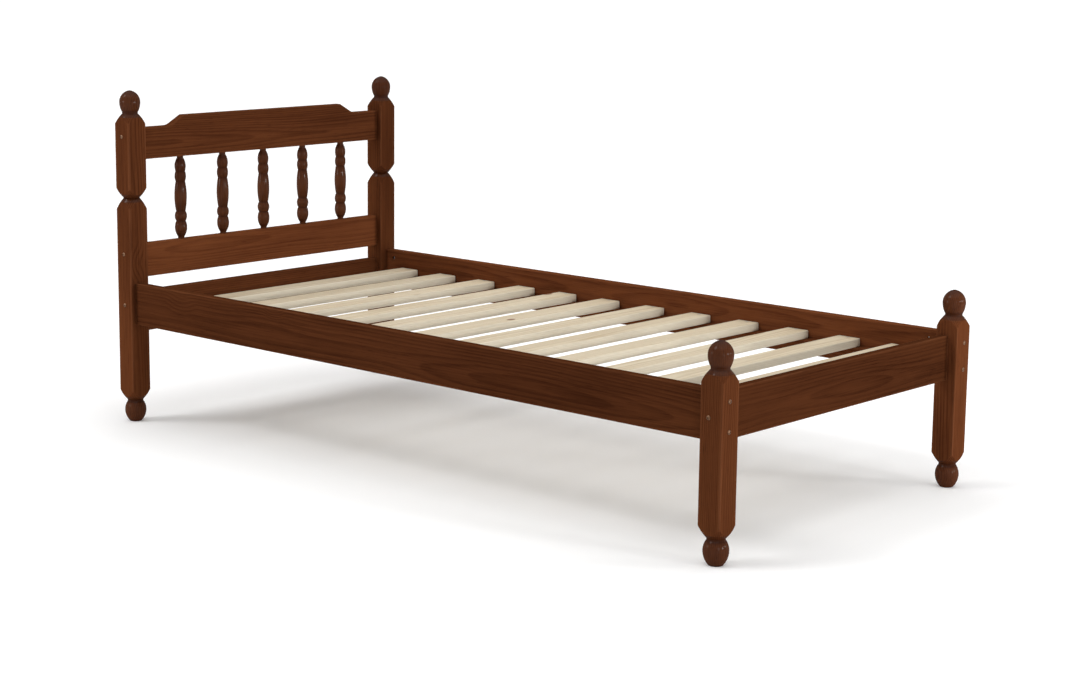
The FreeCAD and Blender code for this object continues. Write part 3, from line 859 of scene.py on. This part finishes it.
@dataclass(frozen=True)
class SlatDeck(Assembly):
    """The bare slats, sawn one after another from the same few logs.

    Attributes:
        slats: Number of slats.
        pith: Least distance of a slat from the pith, through its thickness.
        steps: Steps in which slats were sawn from a log, across their width and through their thickness.
        spacing: How far apart the slats lie along their log.
        rub: Where a slat shows wear and painted highlight, and how much lighter its narrow sides are
            painted as painted light.
    """

    slats: int = 12
    pith: float = 0.040
    steps: Span = (0.015, 0.012)
    spacing: float = 2.3
    rub: Rub = Rub(edge=0.003, joint=0.004, narrow=0.65)

    def build(self) -> None:
        """Dress the slats."""
        boards = []
        for number in range(1, self.slats + 1):
            # The slats of a log were shuffled: seven steps across it and five through it come up in turn.
            sideways = self.steps[0] * (number * 5 % 7 - 3)
            depth = self.pith + self.steps[1] * (number * 3 % 5)
            boards.append(Board(f"slat_{number:02d}", Run.ACROSS, (sideways, depth), self.spacing * number))
        self.dress(BARE_PINE, boards, self.rub)


@dataclass(frozen=True)
class Screws(Assembly):
    """The countersunk screws of the slats and the ledgers, each with a cross recess in its head.

    Attributes:
        head: Radius of the head.
        shank: Radius of the shank.
        length: Length of a screw.
        tip: Length of the tip.
        point: How much of the shank's radius is left at the end of the tip.
        rim: How far the rim of the head is eased.
        recess: Length and width of an arm of the recess, and its depth.
        taper: How much of its size the recess keeps at its floor.
        sides: Number of flats that stand for the round.
        crease: Angle past which an edge looks sharp, in degrees.
        turn: How much further each next screw was turned in, in radians.
        level: Upright part of its normal past which a face counts as level.
        near: How far from a height a face may lie and still count as lying there.
        slats: Number of slats.
    """

    head: float = 0.004
    shank: float = 0.002
    length: float = 0.035
    tip: float = 0.003
    point: float = 0.08
    rim: float = 0.0002
    recess: Place = (0.0046, 0.0011, 0.0016)
    taper: float = 0.5
    sides: int = 24
    crease: float = 35.0
    turn: float = 0.7
    level: float = 0.99
    near: float = 1e-5
    slats: int = SlatDeck.slats

    def pick(self, piece: bpy.types.Object, height: float) -> None:
        """Select the level face of a piece that lies at a height, and go on in edit mode.

        Args:
            piece: The piece.
            height: Height of the face.
        """
        bpy.ops.object.mode_set(mode="OBJECT")
        for part in (*piece.data.vertices, *piece.data.edges):
            part.select = False
        for face in piece.data.polygons:
            level = abs(face.normal.z) > self.level
            face.select = level and abs(face.center.z - height) < self.near
        bpy.ops.object.mode_set(mode="EDIT")
        bpy.ops.mesh.select_mode(type="FACE")

    def turn_blank(self) -> bpy.types.Object:
        """Make a screw without a recess, its head level with the origin.

        Returns:
            The screw.
        """
        sink = self.head - self.shank
        straight = self.length - sink - self.tip
        middle = (0.0, 0.0, -sink - straight / 2)
        bpy.ops.mesh.primitive_cylinder_add(
            vertices=self.sides, radius=self.shank, depth=straight, location=middle)
        screw = bpy.context.object
        bpy.ops.object.transform_apply(location=True)
        head = (-sink, sink, self.head / self.shank)
        tip = (self.tip - self.length, -self.tip, self.point)
        for start, step, size in (head, tip):
            self.pick(screw, start)
            bpy.ops.mesh.extrude_region_move(TRANSFORM_OT_translate={"value": (0.0, 0.0, step)})
            bpy.ops.transform.resize(value=(size, size, 1.0), center_override=(0.0, 0.0, start + step))
        self.pick(screw, 0.0)
        bpy.ops.mesh.bevel(offset=self.rim, segments=2, affect="EDGES")
        bpy.ops.object.mode_set(mode="OBJECT")
        return screw

    def make_punch(self) -> bpy.types.Object:
        """Make the cross-shaped punch that leaves the recess.

        Returns:
            The punch.
        """
        long, wide, deep = self.recess
        bpy.ops.mesh.primitive_cube_add(size=1.0, location=(0.0, 0.0, 0.0))
        punch = bpy.context.object
        bpy.ops.object.mode_set(mode="EDIT")
        bpy.ops.transform.resize(value=(long, wide, 2 * deep), center_override=(0.0, 0.0, 0.0))
        self.pick(punch, -deep)
        bpy.ops.transform.resize(value=(self.taper, self.taper, 1.0), center_override=(0.0, 0.0, -deep))
        bpy.ops.mesh.select_all(action="SELECT")
        bpy.ops.mesh.duplicate_move()
        bpy.ops.transform.rotate(value=math.pi / 2, orient_axis="Z", center_override=(0.0, 0.0, 0.0))
        bpy.ops.object.mode_set(mode="OBJECT")
        return punch

    def model(self) -> bpy.types.Object:
        """Model one screw.

        Returns:
            The screw.
        """
        bpy.ops.object.select_all(action="DESELECT")
        punch = self.make_punch()
        screw = self.turn_blank()
        cut = screw.modifiers.new("recess", "BOOLEAN")
        cut.object = punch
        cut.solver = "EXACT"
        cut.use_self = True
        bpy.ops.object.modifier_apply(modifier=cut.name)
        bpy.data.objects.remove(punch)
        bpy.ops.object.shade_smooth_by_angle(angle=math.radians(self.crease))
        return screw

    def drive(
        self, screw: bpy.types.Object, node: str, places: list[Matrix], zinc: bpy.types.Material,
    ) -> None:
        """Drive copies of a screw into their places, as one piece.

        Args:
            screw: The screw.
            node: Name of the screws that the copies stand for.
            places: Where each copy goes, as it is turned there.
            zinc: The finish.
        """
        bpy.ops.object.select_all(action="DESELECT")
        for number, place in enumerate(places):
            copy = screw.copy()
            copy.data = screw.data.copy()
            copy.matrix_world = place @ Matrix.Rotation(self.turn * number, 4, "Z")
            bpy.context.scene.collection.objects.link(copy)
            copy.select_set(True)
            bpy.context.view_layer.objects.active = copy
        bpy.ops.object.join()
        bpy.ops.object.transform_apply(location=True, rotation=True, scale=True)
        piece = bpy.context.object
        piece.name = f"{node}_cross"
        piece.data.materials.clear()
        piece.data.materials.append(zinc)
        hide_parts(node)
        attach(piece, "root")
        log.info("%s: %d screws", piece.name, len(places))

    def build(self) -> None:
        """Model the screw and drive it through the slats and the ledgers."""
        zinc = ZINC_PLATE.material()
        screw = self.model()
        slats = [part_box(f"slat_{number:02d}") for number in range(1, self.slats + 1)]
        middles = [(low.y + high.y) / 2 for low, high in slats]
        deck = slats[0][1].z
        downwards, sideways = [], []
        for side in Side:
            name = side.word
            low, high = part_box(f"slat_ledger_{name}")
            middle = (low + high) / 2
            downwards += [Matrix.Translation((middle.x, y, deck)) for y in middles]
            inner = high.x if side is Side.LEFT else low.x
            aim = Matrix.Rotation(-side.value * math.pi / 2, 4, "Y")
            # A ledger has a screw between every second pair of neighbouring slats.
            pairs = zip(middles[::2], middles[1::2])
            sideways += [Matrix.Translation((inner, (a + b) / 2, middle.z)) @ aim for a, b in pairs]
        self.drive(screw, "slat_screws", downwards, zinc)
        self.drive(screw, "ledger_screws", sideways, zinc)
        bpy.data.objects.remove(screw)


@dataclass(frozen=True)
class Fasteners(Assembly):
    """The bolts, barrel nuts and dowels.

    Attributes:
        bolted: Names of the groups of rails that are bolted to the posts.
        dowelled: Names of those that have dowels too.
        dowel_pith: Where the middle of the dowels lies from the pith.
        dowel_shift: Where the middle of the dowels lies along the log.
    """

    bolted: tuple[str, ...] = ("side_rail", "end_rail", "headboard")
    dowelled: tuple[str, ...] = ("end_rail", "headboard")
    dowel_pith: Span = (0.05, 0.03)
    dowel_shift: float = 50.0

    def build(self) -> None:
        """Dress the fasteners."""
        bronze = BRONZED_PLATE.material()
        zinc = ZINC_PLATE.material()
        for group in self.bolted:
            self.put_on(f"{group}_bolts", bronze)
            self.put_on(f"{group}_barrel_nuts", zinc)
        for group in self.dowelled:
            dowels = Board(f"{group}_dowels", Run.ACROSS, self.dowel_pith, self.dowel_shift)
            self.dress(DOWEL_WOOD, [dowels], Rub())


@dataclass(frozen=True)
class Camera:
    """The camera that took the photograph.

    Attributes:
        image: Width and height of the image, in pixels.
        focal: Focal length, in pixels.
        middle: The pixel that the lens looks straight at.
        place: Where the camera stands.
        yaw: Turn about the vertical from looking towards the head, in degrees.
        pitch: Tilt downwards, in degrees.
        roll: Turn about the line of sight, in degrees.
        sensor: Width of the sensor, in millimetres.
    """

    image: Span = (1080.0, 696.0)
    focal: float = 2152.5
    middle: Span = (520.0, 300.0)
    place: Place = (-3.9348, -3.5515, 1.2801)
    yaw: float = -47.931
    pitch: float = 9.560
    roll: float = 0.596
    sensor: float = 36.0

    def build(self) -> None:
        """Make the camera and look through it."""
        data = bpy.data.cameras.new("photograph")
        data.sensor_width = self.sensor
        data.lens = self.focal * self.sensor / self.image[0]
        data.shift_x = (self.image[0] / 2 - self.middle[0]) / self.image[0]
        data.shift_y = (self.middle[1] - self.image[1] / 2) / self.image[0]
        camera = bpy.data.objects.new("photograph", data)
        bpy.context.scene.collection.objects.link(camera)
        yaw = Matrix.Rotation(math.radians(self.yaw), 4, "Z")
        tilt = Matrix.Rotation(math.pi / 2 - math.radians(self.pitch), 4, "X")
        roll = Matrix.Rotation(math.radians(self.roll), 4, "Z")
        camera.matrix_world = Matrix.Translation(self.place) @ yaw @ tilt @ roll
        bpy.context.scene.camera = camera


class Lamp(ABC):
    """A lamp of the studio."""

    @abstractmethod
    def hang(self) -> None:
        """Hang the lamp."""

    @staticmethod
    def point(data: bpy.types.Light, towards: Vector) -> bpy.types.Object:
        """Set a lamp in the scene.

        Args:
            data: The lamp's settings.
            towards: The way its light falls.

        Returns:
            The lamp, at the origin.
        """
        lamp = bpy.data.objects.new(data.name, data)
        lamp.rotation_mode = "QUATERNION"
        lamp.rotation_quaternion = towards.to_track_quat("-Z", "Y")
        bpy.context.scene.collection.objects.link(lamp)
        return lamp


@dataclass(frozen=True)
class Sun(Lamp):
    """A far lamp.

    Attributes:
        name: Name of the lamp.
        towards: The way its light falls.
        strength: Its strength.
        softness: How wide it looks from the bed, in degrees.
    """

    name: str
    towards: Place
    strength: float
    softness: float

    def hang(self) -> None:
        """Hang the lamp."""
        data = bpy.data.lights.new(self.name, "SUN")
        data.energy = self.strength
        data.angle = math.radians(self.softness)
        self.point(data, Vector(self.towards))


@dataclass(frozen=True)
class Softbox(Lamp):
    """A near lamp.

    Attributes:
        name: Name of the lamp.
        place: Where it hangs.
        aim: The place that it points at.
        power: Its power.
        size: Its width and height.
    """

    name: str
    place: Place
    aim: Place
    power: float
    size: Span

    def hang(self) -> None:
        """Hang the lamp."""
        data = bpy.data.lights.new(self.name, "AREA")
        data.energy = self.power
        data.shape = "RECTANGLE"
        data.size, data.size_y = self.size
        self.point(data, Vector(self.aim) - Vector(self.place)).location = self.place


@dataclass(frozen=True)
class Studio(Assembly):
    """A white floor under soft light.

    Attributes:
        floor_size: Width of the floor.
        floor_drop: How far the floor lies under the feet.
        floor_colour: Colour of the floor.
        floor_lift: Glow that lifts the lit floor to the background's white, under the bed and away from it;
            the weaker glow under the bed paints a deeper shadow there.
        lift_reach: How far from the dim area the glow sets in and is full.
        dim: Half the width and half the length of the dim area under the bed.
        sky: Strength of the light from all around.
        lamps: The lamps.
    """

    floor_size: float = 120.0
    floor_drop: float = 0.0002
    floor_colour: Colour = (0.88, 0.88, 0.88)
    floor_lift: Span = (0.02, 0.30)
    lift_reach: Span = (0.0, 0.75)
    dim: Place = (0.20, 0.72, 0.0)
    sky: float = 0.12
    lamps: tuple[Lamp, ...] = (
        Sun("overhead", towards=(0.0, 0.0, -1.0), strength=1.9, softness=85.0),
        Sun("left_behind", towards=(0.76, -0.64, -1.0), strength=0.8, softness=19.0),
        Softbox("front", (0.4, -5.6, 1.1), aim=(0.2, -0.9, 0.3), power=64.0, size=(0.5, 0.5)),
        Softbox("right_front", (1.8, -3.6, 0.8), aim=(0.455, -0.965, 0.3), power=28.0, size=(0.4, 0.4)),
        Softbox("left", (-2.8, 1.9, 0.9), aim=(-0.455, 0.965, 0.4), power=14.0, size=(0.5, 0.5)),
        Softbox("strip", (-2.06, -3.94, 0.9), aim=(-0.455, -0.965, 0.3), power=10.0, size=(0.16, 1.2)),
    )

    @staticmethod
    def seen(tree: bpy.types.NodeTree) -> Socket:
        """Tell what is seen from what only gives light.

        Args:
            tree: The nodes of the floor or of the sky.

        Returns:
            1 for what the camera, a reflection or glass shows, and 0 for light.
        """
        path = tree.nodes.new("ShaderNodeLightPath")
        total = path.outputs["Is Camera Ray"]
        for name in ("Is Glossy Ray", "Is Transmission Ray"):
            either = tree.nodes.new("ShaderNodeMath")
            either.operation = "MAXIMUM"
            tree.links.new(total, either.inputs[0])
            tree.links.new(path.outputs[name], either.inputs[1])
            total = either.outputs[0]
        return total

    def floor_glow(self, graph: Graph) -> bpy.types.Node:
        """Make the glow of the floor, which is weakest under the bed so that it paints a deeper shadow
        there, and lights nothing matt.

        Args:
            graph: The material of the floor.

        Returns:
            The glow.
        """
        place = graph.vector("ABSOLUTE", graph.add("TexCoord", {}).outputs["Object"]).outputs[0]
        beyond = graph.vector("SUBTRACT", place, self.dim).outputs[0]
        outside = graph.vector("MAXIMUM", beyond, (0.0, 0.0, 0.0)).outputs[0]
        away = graph.rise(graph.length(outside, (1.0, 1.0, 0.0)), *self.lift_reach)
        near, far = self.floor_lift
        # Painted shadow: the glow is weakest under the bed and near it.
        lift = graph.math("MULTIPLY_ADD", away, far - near, near)
        strength = graph.math("MULTIPLY", self.seen(graph.tree), lift)
        return graph.add("Emission", {"Color": WHITE, "Strength": strength})

    def lay_floor(self) -> None:
        """Lay the floor, which keeps the shadows and melts into the background."""
        bpy.ops.mesh.primitive_plane_add(size=self.floor_size, location=(0.0, 0.0, -self.floor_drop))
        floor = bpy.context.object
        floor.name = "floor"
        graph = Graph("white_floor")
        diffuse = graph.add("BsdfDiffuse", {"Color": (*self.floor_colour, 1.0)})
        glow = self.floor_glow(graph)
        both = graph.add("AddShader", {0: diffuse.outputs[0], 1: glow.outputs[0]})
        floor.data.materials.append(graph.close(both))

    def light_sky(self) -> None:
        """Surround the bed with even light, white where it is seen."""
        world = bpy.data.worlds.new("studio")
        bpy.context.scene.world = world
        world.use_nodes = True
        tree = world.node_tree
        background = next(node for node in tree.nodes if node.type == "BACKGROUND")
        background.inputs["Color"].default_value = WHITE
        level = tree.nodes.new("ShaderNodeMapRange")
        tree.links.new(self.seen(tree), level.inputs["Value"])
        level.inputs["To Min"].default_value = self.sky
        tree.links.new(level.outputs[0], background.inputs["Strength"])

    def build(self) -> None:
        """Lay the floor and hang the lamps."""
        bpy.ops.object.select_all(action="DESELECT")
        self.lay_floor()
        self.light_sky()
        for lamp in self.lamps:
            lamp.hang()
        bpy.context.scene.view_settings.view_transform = "Standard"


def main() -> None:
    """Dress the bed, then set it in the studio before the camera."""
    logging.basicConfig(level=logging.INFO, format="%(name)s: %(message)s")
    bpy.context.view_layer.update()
    for assembly in (Posts(), Headboard(), Rails(), SlatDeck(), Screws(), Fasteners(), Studio()):
        assembly.build()
    Camera().build()


if __name__ == "__main__":
    main()
